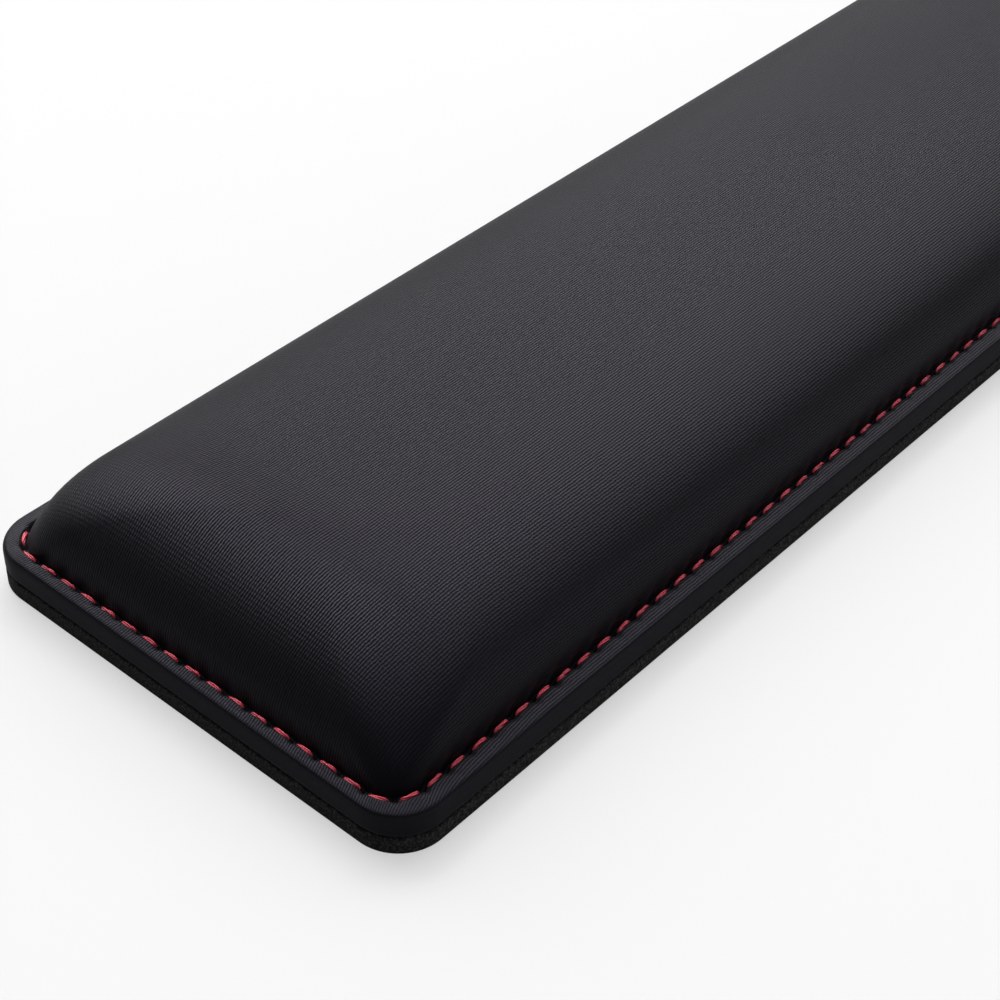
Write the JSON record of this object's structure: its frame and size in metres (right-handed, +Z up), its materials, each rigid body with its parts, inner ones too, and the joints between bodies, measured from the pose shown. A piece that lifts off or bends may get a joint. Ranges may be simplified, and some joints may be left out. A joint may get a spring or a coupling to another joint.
{
  "type": "wrist rest",
  "caption": "Long padded keyboard wrist rest: domed foam under a ribbed fabric cover, stitched round its foot, on a flat non-slip rubber base.",
  "frame": {"origin": "middle of the underside, on the desk", "axes": "+X along the length (parallel to the keyboard), +Y towards the keyboard, +Z up from the desk; both ends and both long sides are alike"},
  "size_m": [0.457, 0.088, 0.0226],
  "materials": {
    "base_rubber": "matte",
    "adhesive_film": "matte",
    "cover_fabric": "matte",
    "board_foam": "matte",
    "core_foam": "matte",
    "red_thread": "satin"
  },
  "bodies": {
    "root": {"rubber_base": "base_rubber", "base_film": "adhesive_film", "cover": "cover_fabric", "carrier_board": "board_foam", "core_film": "adhesive_film", "foam_core": "core_foam", "needle_thread": "red_thread", "bobbin_thread": "red_thread"}
  },
  "joints": []
}
